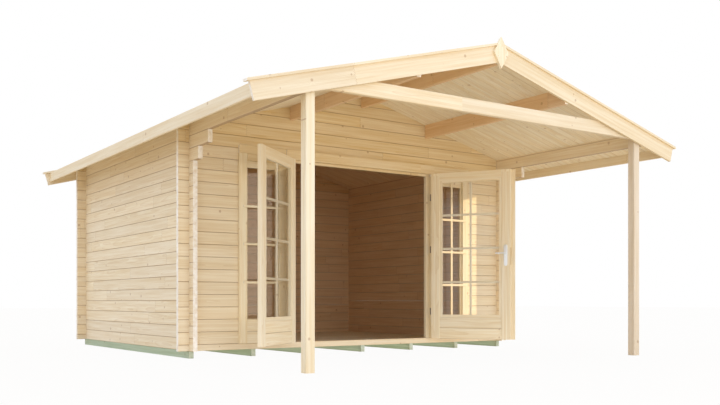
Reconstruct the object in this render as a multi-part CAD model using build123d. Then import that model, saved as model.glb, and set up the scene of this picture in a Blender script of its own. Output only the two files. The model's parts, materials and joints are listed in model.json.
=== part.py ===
from build123d import *
import math
import os

# Holiday cabin of interlocking logs with a deep front canopy. Millimetres.
# X runs along the front wall, Y from the front to the back, Z up from the ground.
# While modelling, X is centred on the ridge and Y is 0 on the front wall's outer face.

# Walls
wall_width = 4000.0
wall_depth = 3258.0
log_thick = 45.0
course = 120.0
side_courses = 18
log_gap = 0.5
end_gap = 1.0
overcut = 1.0
log_chamfer = 4.0
notch_play = 0.5
front_log_overhang = 109.0
side_log_overhang = 92.0
corbel_reach = (210.0, 425.0)

# Ground frame and floor
bearer_wide = 46.0
bearer_high = 70.0
bearer_count = 7
floor_thick = 20.0
floor_margin = 4.0

# Roof
slope = 0.27
ridge_under = 2771.0
board_thick = 19.0
eave_half = 2370.0
barge_front = -2115.0
barge_back = 3440.0
barge_thick = 25.0
barge_wide = 146.0
barge_half = 2407.0
strip_thick = 19.0
strip_wide = 68.0
strip_proud = 18.0
strip_extra = 28.0
fascia_thick = 20.0
fascia_high = 110.0
finial_wide = 170.0
finial_high = 276.0
finial_low = 2580.0
purlin_thick = 45.0
ridge_purlin_low = 2626.0
mid_purlin_inner = 857.0
mid_purlin_low = 2390.0

# Edges of planed timber
edge_ease = 3.0
post_ease = 5.0

# Canopy front
tie_front = -2080.0
tie_low = 2170.0
post_side = 80.0
post_inner = 1873.0

# Door and window unit in the front wall
unit_half = 1430.0
unit_top = 2080.0
casing_half = 1485.0
casing_wide = 85.0
casing_thick = 28.0
casing_joint = 335.0
casing_head_low = 2000.0
frame_inner = 1047.0
frame_head_low = 1930.0
jamb_outer = 960.0
jamb_stop = 870.0
jamb_front = -45.0
jamb_back = 35.0
head_low = 1960.0
clearance = 5.0
sash_front = 0.0
sash_back = 45.0
pane_inner = 1070.0
pane_outer = 1385.0
pane_low = 370.0
pane_high = 1866.0
pane_lap = 11.0
glass_thick = 4.0
glass_front = 20.0
panel_thick = 18.0
panel_split = 245.0
panel_high = 362.0

# Door leaves
leaf_half = 915.0
leaf_gap = 6.0
leaf_front = -50.0
leaf_thick = 42.0
leaf_low = 126.0
leaf_high = 1980.0
stile_wide = 100.0
rail_wide = 88.0
bead_wide = 27.0
bead_recess = 5.0
leaf_glass_low = 395.0
leaf_glass_high = 1870.0
board_recess = 6.0
left_open_deg = 140.0
right_open_deg = 121.0
strip_lap = 38.0
strip_base = 22.0
meeting_thick = 18.0

# Hinges and handle
hinge_x = 917.5
hinge_y = -56.5
hinge_heights = (430.0, 1130.0, 1720.0)
barrel_radius = 6.0
barrel_high = 76.0
hinge_plate = 2.2
hinge_back = -13.0
round_sides = 12
handle_in = 52.0
handle_low = 928.0
handle_high = 1163.0
handle_wide = 41.0
handle_plate = 5.0
lever_height = 1069.0
lever_long = 108.0
lever_radius = 8.0
lever_stand = 46.0
lever_flat = 10.0
lever_play = 0.5

# Worked out from the above
side_x = wall_width / 2
inner_x = side_x - log_thick
first_side = bearer_high
first_front = bearer_high + course / 2
cos_slope = 1 / math.sqrt(1 + slope * slope)
roof_front = barge_front + barge_thick
roof_back = barge_back - barge_thick
barge_rise = barge_wide / cos_slope
board_rise = board_thick / cos_slope
strip_rise = strip_thick / cos_slope
middle_y = (barge_front + barge_back) / 2


def under(x):
    return ridge_under - slope * abs(x)


def block(x, y, z):
    size = (x[1] - x[0], y[1] - y[0], z[1] - z[0])
    return Pos((x[0] + x[1]) / 2, (y[0] + y[1]) / 2, (z[0] + z[1]) / 2) * Box(*size)


def along_y(points, y):
    # A prism of an X-Z outline, running from y[0] to y[1].
    outline = make_face(Polyline(*[(px, y[0], pz) for px, pz in points], close=True))
    return extrude(outline, amount=y[1] - y[0], dir=(0, 1, 0))


def eased(shape, axis, size=None):
    # Small chamfers on the edges that run along one axis.
    return chamfer(shape.edges().filter_by(axis), size or edge_ease)


def eased_below(purlin):
    # The two long edges on the underside of a purlin.
    return chamfer(purlin.edges().filter_by(Axis.Y).sort_by(Axis.Z)[:2], edge_ease)


def round_face(radius):
    return RegularPolygon(radius, round_sides)


def mirrored(shape):
    return mirror(shape, about=Plane.YZ)


def pair(shape):
    # The right-hand piece and its left-hand twin.
    return shape, mirrored(shape)


def save(node, *shapes):
    solids = [solid for shape in shapes for solid in shape.solids()]
    whole = solids[0] if len(solids) == 1 else Compound(solids)
    export_step(Pos(0, -middle_y, 0) * whole, f"parts/{node}.step")


# Logs

def log_profile(low, high):
    c = log_chamfer
    t = log_thick
    return [(c, low), (t - c, low), (t, low + c), (t, high - c),
            (t - c, high), (c, high), (0, high - c), (0, low + c)]


def log_on_x(x, low, high, face_y):
    # A log lying along X, with its lower-Y face at face_y.
    points = [(x[0], face_y + py, pz) for py, pz in log_profile(low, high - log_gap)]
    outline = make_face(Polyline(*points, close=True))
    return extrude(outline, amount=x[1] - x[0], dir=(1, 0, 0))


def log_on_y(y, low, high, face_x):
    # A log lying along Y, with its lower-X face at face_x.
    points = [(face_x + px, y[0], pz) for px, pz in log_profile(low, high - log_gap)]
    outline = make_face(Polyline(*points, close=True))
    return extrude(outline, amount=y[1] - y[0], dir=(0, 1, 0))


def notches(x, y, low, high, top=True, bottom=True):
    # Quarter-course notches above and below, where two walls of logs cross.
    deep = course / 4 + notch_play / 2
    wide_x = (x - notch_play, x + log_thick + notch_play)
    wide_y = (y - notch_play, y + log_thick + notch_play)
    cuts = []
    if top:
        cuts.append(block(wide_x, wide_y, (high - deep, high + course)))
    if bottom:
        cuts.append(block(wide_x, wide_y, (low - course, low + deep)))
    return cuts


def cut(shape, tools):
    for tool in tools:
        shape = shape - tool
    return shape


corner_x = (inner_x, -side_x)
corner_y = (0.0, wall_depth - log_thick)
side_back = wall_depth + side_log_overhang


def side_log(number, front_end):
    low = first_side + number * course
    log = log_on_y((front_end, side_back), low, low + course, inner_x)
    for y in corner_y:
        log = cut(log, notches(inner_x, y, low, low + course))
    return log


def cross_log(number, x, face_y, bottom=True):
    # Log of the front or back wall; number -1 is the half log at the foot.
    low = first_front + number * course
    high = low + course
    if number < 0:
        low = bearer_high
    log = log_on_x(x, low, high, face_y)
    for corner in corner_x:
        log = cut(log, notches(corner, face_y, low, high, bottom=bottom))
    return log


# Roof outline and purlins

def roof_space(y):
    # Everything under the roof boards, as a house-shaped prism.
    foot = bearer_high
    reach = side_x + course * 2
    return along_y([(-reach, foot), (reach, foot), (reach, under(reach)),
                    (0, ridge_under), (-reach, under(reach))], y)


purlin_y = (roof_front + end_gap, roof_back - end_gap)


def ridge_purlin_shape(play, y):
    half = purlin_thick / 2 + play
    low = ridge_purlin_low - play
    return along_y([(-half, low), (half, low), (half, under(half)),
                    (0, ridge_under), (-half, under(half))], y)


def mid_purlin_shape(play, y):
    a = mid_purlin_inner - play
    b = mid_purlin_inner + purlin_thick + play
    low = mid_purlin_low - play
    return along_y([(a, low), (b, low), (b, under(b)), (a, under(a))], y)


def gable_logs(face_y):
    span_y = (face_y - overcut, face_y + log_thick + overcut)
    space = roof_space(span_y)
    play = notch_play
    mid = mid_purlin_shape(play, span_y)
    holes = [ridge_purlin_shape(play, span_y), mid, mirrored(mid)]
    reach = side_x + front_log_overhang
    number = side_courses - 1
    made = []
    while first_front + (number + 0.5) * course < ridge_under:
        low = first_front + number * course
        log = log_on_x((-reach, reach), low, low + course, face_y)
        if number == side_courses - 1:
            for corner in corner_x:
                log = cut(log, notches(corner, face_y, low, low + course, top=False))
        made.append(cut(log & space, holes))
        number += 1
    return made


# Ground frame and floor

def floor_bearers():
    step = (wall_width - bearer_wide) / (bearer_count - 1)
    made = []
    for i in range(bearer_count):
        x = -side_x + i * step
        made.append(block((x, x + bearer_wide), (0, wall_depth), (0, bearer_high)))
    return made


def floor_slab():
    half = inner_x - floor_margin
    y = (log_thick + floor_margin, wall_depth - log_thick - floor_margin)
    return block((-half, half), y, (bearer_high, bearer_high + floor_thick))


# Walls

def wall_plate():
    # The top log of a side wall: planed to the roof slope, and run on under the canopy.
    number = side_courses - 1
    low = first_side + number * course
    c = log_chamfer
    points = [(inner_x + c, low), (side_x - c, low), (side_x, low + c), (side_x, under(side_x)),
              (inner_x, under(inner_x)), (inner_x, low + c)]
    plate = along_y(points, (roof_front + end_gap, wall_depth + side_log_overhang))
    for y in corner_y + (tie_front,):
        plate = cut(plate, notches(inner_x, y, low, low + course, bottom=y != tie_front))
    return plate


def build_walls():
    first = side_log(0, -side_log_overhang)
    plain = [Pos(0, 0, i * course) * first for i in range(side_courses - 3)]
    corbels = [side_log(side_courses - 3 + i, -reach) for i, reach in enumerate(corbel_reach)]
    plate = wall_plate()
    save("right_wall_logs", *plain)
    save("left_wall_logs", *[mirrored(log) for log in plain])
    save("right_corbel_logs", *corbels)
    save("left_corbel_logs", *[mirrored(log) for log in corbels])
    save("right_wall_plate", plate)
    save("left_wall_plate", mirrored(plate))

    reach = side_x + front_log_overhang
    header = side_courses - 2
    back_y = wall_depth - log_thick
    first = cross_log(0, (unit_half + notch_play, reach), 0)
    stub = [Pos(0, 0, i * course) * first for i in range(header)]
    save("front_right_logs", *stub)
    save("front_left_logs", *[mirrored(log) for log in stub])
    save("front_sill_log", cross_log(-1, (-reach, reach), 0, bottom=False))
    above = cross_log(header, (-reach, reach), 0)
    seat = unit_half + notch_play
    seat_box = block((-seat, seat), (-overcut, log_thick + overcut), (0, unit_top + notch_play))
    save("front_header_log", above - seat_box)
    save("front_gable_logs", *gable_logs(0))
    back = [cross_log(-1, (-reach, reach), back_y, bottom=False)]
    first = cross_log(0, (-reach, reach), back_y)
    back += [Pos(0, 0, i * course) * first for i in range(header + 1)]
    save("back_wall_logs", *back)
    save("back_gable_logs", *gable_logs(back_y))


# Roof

def build_roof():
    inner = log_gap / 2
    slab = along_y([(inner, under(inner)), (eave_half, under(eave_half)),
                    (eave_half, under(eave_half) + board_rise), (inner, under(inner) + board_rise)],
                   (roof_front, roof_back))
    save("roof_right", slab)
    save("roof_left", mirrored(slab))
    save("ridge_purlin", eased_below(ridge_purlin_shape(0, purlin_y)))
    save("mid_purlins", *pair(eased_below(mid_purlin_shape(0, purlin_y))))

    top = ridge_under + board_rise
    low = top - barge_rise
    end_x = barge_half + barge_wide * slope * cos_slope

    def barge(y):
        return along_y([(inner, low - slope * inner), (barge_half, low - slope * barge_half),
                        (end_x, top - slope * end_x), (inner, top - slope * inner)], y)

    def strip(y):
        far = end_x + strip_extra
        return along_y([(inner, top - slope * inner), (far, top - slope * far),
                        (far, top + strip_rise - slope * far), (inner, top + strip_rise - slope * inner)], y)

    def finial(y, play=0.0):
        mid = finial_low + finial_high / 2
        half_x = finial_wide / 2 + play
        half_z = finial_high / 2 + play
        return along_y([(-half_x, mid), (0, mid - half_z), (half_x, mid), (0, mid + half_z)], y)

    ends = {"front": (barge_front, 1), "back": (barge_back, -1)}
    finials = []
    strips = []
    for name, (face, inward) in ends.items():
        band = sorted((face, face + inward * barge_thick))
        cover = sorted((face - inward * strip_proud, face + inward * (strip_wide - strip_proud)))
        proud = sorted((face, face - inward * barge_thick))
        save(f"{name}_barge_boards", *pair(barge(band)))
        finials.append(finial(proud))
        room = finial(sorted((face + inward * notch_play, face - inward * barge_thick * 2)), notch_play)
        strips += pair(strip(cover) - room)
    save("gable_finials", *finials)
    save("roof_edge_strips", *strips)

    fascia_top = top - slope * (eave_half + fascia_thick)
    fascia = block((eave_half, eave_half + fascia_thick), (roof_front, roof_back),
                   (fascia_top - fascia_high, fascia_top))
    save("eave_fascias", *pair(eased(fascia, Axis.Y)))


# Canopy front

def build_canopy():
    reach = side_x + front_log_overhang
    tie_y = (tie_front, tie_front + log_thick)
    tie = eased(block((-reach, reach), tie_y, (tie_low, tie_low + course)), Axis.X) & roof_space(tie_y)
    for corner in corner_x:
        tie = cut(tie, notches(corner, tie_front, tie_low, tie_low + course, top=False))
    save("tie_beam", tie)
    post = block((post_inner, post_inner + post_side), (tie_front, tie_front + post_side), (0, tie_low))
    post = eased(post, Axis.Z, post_ease)
    save("right_post", post)
    save("left_post", mirrored(post))


# Door and window unit

def build_unit():
    rebate = leaf_half + clearance
    rebate_top = leaf_high + clearance
    stop_front = leaf_front + leaf_thick + clearance
    foot = first_front
    jamb = block((jamb_stop, jamb_outer), (jamb_front, jamb_back), (foot, unit_top))
    jamb -= block((0, rebate), (jamb_front - overcut, stop_front), (0, rebate_top))
    jamb -= block((0, jamb_outer + overcut), (jamb_front - overcut, jamb_back + overcut),
                  (head_low - log_gap, unit_top + overcut))
    save("door_jambs", *pair(jamb))
    head = block((-jamb_outer, jamb_outer), (jamb_front, jamb_back), (head_low, unit_top))
    head -= block((-rebate, rebate), (jamb_front - overcut, stop_front), (0, rebate_top))
    save("door_head", head)

    casing_inner = casing_half - casing_wide
    face = (-casing_thick, 0)
    foot_board = block((casing_inner, casing_half), face, (foot, casing_joint - log_gap))
    side_board = block((casing_inner, casing_half), face, (casing_joint, casing_head_low - log_gap))
    inner_board = block((jamb_outer + log_gap, frame_inner), face, (foot, casing_head_low - log_gap))
    head_board = block((jamb_outer + log_gap, casing_half), face, (casing_head_low, unit_top))
    head_x = (frame_inner + log_gap, casing_inner - log_gap)
    frame_head = block(head_x, face, (frame_head_low, casing_head_low - log_gap))
    uprights = [pair(eased(board, Axis.Z)) for board in (foot_board, side_board, inner_board)]
    save("side_casings", *[board for twins in uprights for board in twins])
    save("head_casings", *pair(eased(head_board, Axis.X)), *pair(eased(frame_head, Axis.X)))

    # Fixed windows: stiles at the sides, rails between them, and a rebate for the pane behind.
    pane_x = (pane_inner, pane_outer)
    sash_y = (sash_front, sash_back)
    sash_inner = jamb_outer + log_gap
    lap_x = (pane_x[0] - pane_lap, pane_x[1] + pane_lap)
    lap_z = (pane_low - pane_lap, pane_high + pane_lap)
    rebate_box = block(lap_x, (glass_front, sash_back + overcut), lap_z)
    stiles = []
    for x in ((sash_inner, pane_x[0]), (pane_x[1], unit_half)):
        stiles += pair(block(x, sash_y, (foot, unit_top)) - rebate_box)
    rails = []
    rail_x = (pane_x[0] + log_gap, pane_x[1] - log_gap)
    for z in ((foot, pane_low), (pane_high, unit_top)):
        rails += pair(block(rail_x, sash_y, z) - rebate_box)
    save("window_stiles", *stiles)
    save("window_rails", *rails)
    play = notch_play
    glass = block((lap_x[0] + play, lap_x[1] - play), (glass_front, glass_front + glass_thick),
                  (lap_z[0] + play, lap_z[1] - play))
    save("window_glass", *pair(glass))
    panel_x = head_x
    panel_y = (sash_front - panel_thick, sash_front)
    lower = block(panel_x, panel_y, (foot, panel_split - log_gap))
    upper = block(panel_x, panel_y, (panel_split, panel_high))
    save("window_panels", *pair(lower), *pair(upper))


# Door leaves, modelled closed on the right-hand side and then swung open

def leaf_pieces():
    edge = leaf_gap / 2
    back = leaf_front + leaf_thick
    full_y = (leaf_front, back)
    bead_y = (leaf_front + bead_recess, back - bead_recess)
    mid_y = (leaf_front + back) / 2
    play = notch_play / 2
    clear_x = (edge + stile_wide, leaf_half - stile_wide)
    glass_x = (clear_x[0] + bead_wide, clear_x[1] - bead_wide)
    rail_low = leaf_high - rail_wide
    groove_half = glass_thick / 2 + play
    groove_x = (glass_x[0] - pane_lap, glass_x[1] + pane_lap)
    groove_z = (leaf_glass_low - pane_lap, leaf_glass_high + pane_lap)
    groove = block(groove_x, (mid_y - groove_half, mid_y + groove_half), groove_z)

    stiles = []
    bead_z = (panel_high, rail_low)
    for x, bead_x in (((edge, clear_x[0]), (clear_x[0], glass_x[0])),
                      ((clear_x[1], leaf_half), (glass_x[1], clear_x[1]))):
        post = eased(block(x, full_y, (leaf_low, leaf_high)), Axis.Z)
        stiles.append(post + block(bead_x, bead_y, bead_z) - groove)

    rail_x = (clear_x[0] + play, clear_x[1] - play)
    bead_rail_x = (glass_x[0] + play, glass_x[1] - play)
    top = eased(block(rail_x, full_y, (rail_low + play, leaf_high)), Axis.X)
    top = top + block(bead_rail_x, bead_y, (leaf_glass_high, rail_low + leaf_thick / 2)) - groove
    low = block(bead_rail_x, bead_y, (panel_high, leaf_glass_low)) - groove
    glass_y = (mid_y - glass_thick / 2, mid_y + glass_thick / 2)
    glass = block((groove_x[0] + play, groove_x[1] - play), glass_y,
                  (groove_z[0] + play, groove_z[1] - play))
    board_y = (leaf_front + board_recess, back - board_recess)
    boards = [eased(block(rail_x, board_y, (leaf_low, panel_split - log_gap)), Axis.X),
              eased(block(rail_x, board_y, (panel_split, panel_high - play)), Axis.X)]
    return stiles, [top, low], glass, boards


def hinge_pieces():
    # Butt hinges: one flap on the jamb's rebate, one on the leaf's edge, each with half of the barrel.
    half = barrel_high / 2
    jamb_x = (leaf_half + clearance - hinge_plate, leaf_half + clearance)
    leaf_x = (leaf_half, leaf_half + hinge_plate)
    fixed = []
    moving = []
    halves = ((fixed, jamb_x, jamb_front, -half), (moving, leaf_x, leaf_front, log_gap))
    for z in hinge_heights:
        barrel = Pos(hinge_x, hinge_y, z) * extrude(round_face(barrel_radius), amount=half - log_gap)
        for made, plate_x, front, shift in halves:
            neck_z = (z + shift, z + shift + half - log_gap)
            neck = block(plate_x, (hinge_y, front), neck_z)
            flap = block(plate_x, (front, hinge_back), (z - half, z + half))
            made.append(Pos(0, 0, shift) * barrel + neck + flap)
    return fixed, moving


def handle_pieces():
    x = leaf_gap / 2 + handle_in
    back = leaf_front + leaf_thick

    def bar(radius, y):
        # A round bar across the leaf at the lever's height.
        turned = Pos(x, y[0], lever_height) * Rot(-90, 0, 0)
        return extrude(turned * round_face(radius), amount=y[1] - y[0], dir=(0, 1, 0))

    ends = (leaf_front - lever_stand, back + lever_stand)
    hole = bar(lever_radius + lever_play, (ends[0] - lever_stand, ends[1] + lever_stand))
    mid_z = (handle_low + handle_high) / 2
    outline = Plane.XZ * SlotOverall(handle_high - handle_low, handle_wide, rotation=90)
    plate = extrude(Pos(x, 0, mid_z) * outline, amount=handle_plate, dir=(0, 1, 0))
    plates = [Pos(0, back, 0) * plate - hole, Pos(0, leaf_front - handle_plate, 0) * plate - hole]
    arm_x = (x - lever_radius, x + lever_long)
    arm_z = (lever_height - lever_radius, lever_height + lever_radius)
    lever = bar(lever_radius, ends)
    for y in ends:
        arm = block(arm_x, (y - lever_flat / 2, y + lever_flat / 2), arm_z)
        upright = arm.edges().filter_by(Axis.Y)
        lever += chamfer(upright, lever_flat / 3)
    return plates, lever, hole


def swing(shape, side, open_deg):
    # side is 1 for the right-hand leaf and -1 for the left-hand one.
    axis = Axis((side * hinge_x, hinge_y, 0), (0, 0, side))
    return shape.rotate(axis, open_deg)


def build_leaves():
    stiles, rails, glass, boards = leaf_pieces()
    fixed, moving = hinge_pieces()
    plates, lever, hole = handle_pieces()
    save("hinge_posts", *fixed, *[mirrored(piece) for piece in fixed])

    def left(pieces):
        return [swing(mirrored(piece), -1, left_open_deg) for piece in pieces]

    def right(pieces):
        return [swing(piece, 1, right_open_deg) for piece in pieces]

    save("left_leaf_stiles", *left(stiles))
    save("left_leaf_rails", *left(rails))
    save("left_leaf_boards", *left(boards))
    save("left_leaf_glass", *left([glass]))
    save("left_hinge_flaps", *left(moving))

    edge = leaf_gap / 2
    base = block((edge, edge + strip_base), (leaf_front - clearance, leaf_front), (leaf_low, leaf_high))
    cover = block((edge - strip_lap, edge + strip_base),
                  (leaf_front - clearance - meeting_thick, leaf_front - clearance), (leaf_low, leaf_high))
    drilled = [piece - hole for piece in stiles]
    save("right_leaf_stiles", *right(drilled))
    save("right_leaf_rails", *right(rails))
    save("right_leaf_boards", *right(boards))
    save("right_leaf_glass", *right([glass]))
    save("right_hinge_flaps", *right(moving))
    save("meeting_strip", *right([base + cover]))
    save("handle_plates", *right(plates))
    save("lever_handle", *right([lever]))


os.makedirs("parts", exist_ok=True)
save("floor_bearers", *floor_bearers())
save("floor_deck", floor_slab())
build_walls()
build_roof()
build_canopy()
build_unit()
build_leaves()
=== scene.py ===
import bpy
import json
import math
import numpy as np
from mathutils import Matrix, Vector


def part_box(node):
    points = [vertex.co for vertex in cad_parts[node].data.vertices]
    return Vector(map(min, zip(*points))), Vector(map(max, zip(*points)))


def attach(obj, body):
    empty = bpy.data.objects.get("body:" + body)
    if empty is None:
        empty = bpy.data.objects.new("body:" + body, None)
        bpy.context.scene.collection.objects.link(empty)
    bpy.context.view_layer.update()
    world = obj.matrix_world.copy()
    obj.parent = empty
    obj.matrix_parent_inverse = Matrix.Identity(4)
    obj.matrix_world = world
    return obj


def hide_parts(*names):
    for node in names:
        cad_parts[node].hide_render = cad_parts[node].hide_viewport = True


# Holiday cabin of interlocking spruce logs: finishes, boards, glazing bars, ironwork, light and camera.
# Places are in metres, and values whose names end in Mm are in millimetres.

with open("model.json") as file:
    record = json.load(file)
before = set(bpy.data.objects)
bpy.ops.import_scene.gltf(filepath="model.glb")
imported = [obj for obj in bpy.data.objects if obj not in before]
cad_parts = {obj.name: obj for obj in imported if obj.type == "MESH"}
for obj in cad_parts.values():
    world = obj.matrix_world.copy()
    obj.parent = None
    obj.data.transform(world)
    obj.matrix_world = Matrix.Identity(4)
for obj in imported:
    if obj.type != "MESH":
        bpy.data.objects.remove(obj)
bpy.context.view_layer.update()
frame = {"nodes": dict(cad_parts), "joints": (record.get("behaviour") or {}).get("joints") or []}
nodes = frame["nodes"]
mm = 0.001
print("frame loaded:", len(nodes), "nodes")


def linear(hexColour):
    # sRGB hex to the linear colour that a socket takes
    values = [int(hexColour[i:i + 2], 16) / 255 for i in (1, 3, 5)]
    return tuple(v / 12.92 if v <= 0.04045 else ((v + 0.055) / 1.055) ** 2.4 for v in values) + (1.0,)


def addNode(tree, kind, inputs=None, pick=None, **settings):
    # one shader node with its settings, its values and its links; pick hands back one of its outputs
    node = tree.nodes.new("ShaderNode" + kind)
    for name, value in settings.items():
        setattr(node, name, value)
    for key, value in (inputs or {}).items():
        if isinstance(value, bpy.types.NodeSocket):
            tree.links.new(value, node.inputs[key])
        else:
            node.inputs[key].default_value = value
    return node if pick is None else node.outputs[pick]


def newMaterial(name):
    material = bpy.data.materials.new(name)
    material.use_nodes = True
    material.node_tree.nodes.clear()
    return material, material.node_tree


def dress(material, *names):
    for name in names:
        slots = nodes[name].data.materials
        slots.clear()
        slots.append(material)


# Planed softwood. Straight pale grain with darker summer wood, small brown knots with the grain bent round
# them, a slight change of tone from board to board, finger joints in long stock, and paler sawn ends.
# Ring and fibre widths are drawn coarser than the real 2 mm and 0.1 mm so that they show in the render.

spruce = dict(pale="#F6E8CC", warm="#EBD7B3", late="#D5B587", knot="#A06E3C", ends="#FFFAF1",
              blush="#E8D8BE", joint="#94693A")
# painted shade: a deeper palette for the logs and heads under the canopy
canopyShadeSpruce = dict(spruce, pale="#F1DEB8", warm="#E5CB99", late="#CEA86E")
# painted shade: a redder palette for the purlins, in the warm shade under the roof
purlinShadeSpruce = dict(spruce, pale="#F0D2AC", warm="#E6C397", late="#D0A471")
palePlanks = dict(spruce, pale="#FAF0D8", warm="#F2E2C0", late="#DEC396")
# a darker, greyer palette, for the right post
darkGreySpruce = dict(spruce, pale="#E9DCC8", warm="#DFCEB3", late="#CAAF8C")
joinery = dict(pale="#FAEED3", warm="#F1DEB8", late="#DDC08E", knot="#AD7D4C", ends="#FFFAF1",
               blush="#E8D8BE", joint="#A07A4C")
# painted light: a paler palette for the leaf bars behind the pane, standing in for light and reflection there
paintedLightBars = dict(joinery, pale="#FFF6E2", warm="#FCEBCB", late="#EBD3AA")
treatedPine = dict(pale="#C1CDB3", warm="#AEBC9C", late="#94A37F", knot="#73754F", ends="#D6DECA",
                   blush="#BDC9AB", joint="#84916B")
# painted shade for the faces inside the room
roomShade = "#FCE7D6"
# painted shade for the upward faces of the roof boards
roofTopShade = "#EBD9BC"

figure = dict(ringMm=7.0, lateShare=0.34, wanderMm=36.0, pithSpreadMm=(80.0, 130.0), streakMm=24.0,
              fibreMm=2.5, bumpMm=0.35, tone=(0.96, 1.02), strength=(0.95, 1.06), startM=7.0, stockM=9.0)
knots = dict(everyMm=340.0, acrossMm=120.0, radiusMm=19.0, rarity=0.6, share=0.42, core=0.55, halo=3.2,
             swirlMm=14.0)
fingerJoint = dict(fingerMm=12.0, lineMm=(2.0, 0.6), share=0.55)
grooveMm = 5.0
sawnEnd = dict(blushMm=40.0, blushShare=0.7, ringShare=0.25)


def softwood(name, look, palette=spruce):
    # look: turn lays the grain on X and the board's width on Z; origin and pitch give the board grid in mm;
    # mirror, fingers, groove, room and topShade switch on the branches below; the last three paint shade
    material, tree = newMaterial(name)
    turn = tuple(math.radians(a) for a in look["turn"])
    origin = [v * mm for v in look["origin"]]
    pitch = [v * mm for v in look["pitch"]]
    far = 50.0  # keeps every place on the positive side along the grain
    coords = addNode(tree, "TexCoord").outputs
    place = coords["Object"]
    facing = coords["Normal"]
    seed = look.get("seed", 1.0)
    if look.get("mirror"):
        # both halves of the cabin are read as one, each with a seed of its own
        sign = addNode(tree, "SeparateXYZ", {0: place}, 0)
        sign = addNode(tree, "Math", {0: sign}, 0, operation="SIGN")
        seed = addNode(tree, "Math", {0: sign, 1: 3.7, 2: seed}, 0, operation="MULTIPLY_ADD")
        place = addNode(tree, "VectorMath", {0: place}, 0, operation="ABSOLUTE")
        flip = addNode(tree, "CombineXYZ", {0: sign, 1: 1.0, 2: 1.0}, 0)
        facing = addNode(tree, "VectorMath", {0: facing, 1: flip}, 0, operation="MULTIPLY")
    shift = (far, -origin[1], -origin[2])
    laid = addNode(tree, "Mapping", {"Vector": place, "Rotation": turn, "Location": shift}, 0)
    cells = (2 * far, pitch[1], pitch[2])
    half = tuple(v / 2 for v in cells)
    ratio = addNode(tree, "VectorMath", {0: laid, 1: cells}, 0, operation="DIVIDE")
    cell = addNode(tree, "VectorMath", {0: ratio}, 0, operation="FLOOR")
    middle = addNode(tree, "VectorMath", {0: cell, 1: cells, 2: half}, 0, operation="MULTIPLY_ADD")
    local = addNode(tree, "VectorMath", {0: laid, 1: middle}, 0, operation="SUBTRACT")
    inBoard = addNode(tree, "SeparateXYZ", {0: local}).outputs
    inGrid = addNode(tree, "SeparateXYZ", {0: cell}).outputs

    # each board starts somewhere else along its stock, and each length between joints has its own chance
    boardKey = addNode(tree, "CombineXYZ", {0: seed, 1: inGrid[1], 2: inGrid[2]}, 0)
    boardChance = addNode(tree, "TexWhiteNoise", {"Vector": boardKey}, "Value", noise_dimensions="3D")
    along = addNode(tree, "Math", {0: boardChance, 1: figure["startM"], 2: inBoard[0]}, 0,
                    operation="MULTIPLY_ADD")
    length = addNode(tree, "Math", {0: along, 1: pitch[0]}, 0, operation="DIVIDE")
    lengthIndex = addNode(tree, "Math", {0: length}, 0, operation="FLOOR")
    lengthSeed = addNode(tree, "Math", {0: lengthIndex, 1: seed}, 0, operation="ADD")
    lengthKey = addNode(tree, "CombineXYZ", {0: lengthSeed, 1: inGrid[1], 2: inGrid[2]}, 0)
    chance = addNode(tree, "TexWhiteNoise", {"Vector": lengthKey}, "Color", noise_dimensions="3D")
    draws = addNode(tree, "SeparateColor", {0: chance}).outputs
    inStock = addNode(tree, "CombineXYZ", {0: along, 1: inBoard[1], 2: inBoard[2]}, 0)
    spreadOut = (figure["stockM"],) * 3
    stock = addNode(tree, "VectorMath", {0: chance, 1: spreadOut, 2: inStock}, 0, operation="MULTIPLY_ADD")

    # knots: one chance in each stretch of board, round in real millimetres
    every = knots["everyMm"] * mm
    across = look.get("knotAcross", knots["acrossMm"]) * mm
    stockAxes = addNode(tree, "SeparateXYZ", {0: stock}).outputs
    flat = addNode(tree, "CombineXYZ", {0: stockAxes[0], 1: stockAxes[2]}, 0)
    spread = addNode(tree, "VectorMath", {0: flat, 1: (1 / every, 1 / across, 0)}, 0, operation="MULTIPLY")
    spots = addNode(tree, "TexVoronoi", {"Vector": spread, "Scale": 1.0, "Randomness": 0.9},
                    voronoi_dimensions="2D").outputs
    away = addNode(tree, "VectorMath", {0: spread, 1: spots["Position"]}, 0, operation="SUBTRACT")
    offset = addNode(tree, "VectorMath", {0: away, 1: (every, across, 0)}, 0, operation="MULTIPLY")
    distance = addNode(tree, "VectorMath", {0: offset}, "Value", operation="LENGTH")
    spotDraw = addNode(tree, "SeparateColor", {0: spots["Color"]}, 0)
    largest = knots["radiusMm"] * mm
    radius = addNode(tree, "MapRange", {0: spotDraw, 1: knots["rarity"], 3: 0.0, 4: largest}, 0)
    core = addNode(tree, "Math", {0: radius, 1: knots["core"]}, 0, operation="MULTIPLY")
    halo = addNode(tree, "Math", {0: radius, 1: knots["halo"]}, 0, operation="MULTIPLY")
    knot = addNode(tree, "MapRange", {0: distance, 1: radius, 2: core, 3: 0.0, 4: knots["share"]}, 0,
                   interpolation_type="SMOOTHSTEP")
    bent = addNode(tree, "MapRange", {0: distance, 1: halo, 2: core, 3: 0.0, 4: knots["swirlMm"] * mm}, 0,
                   interpolation_type="SMOOTHSTEP")

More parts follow.
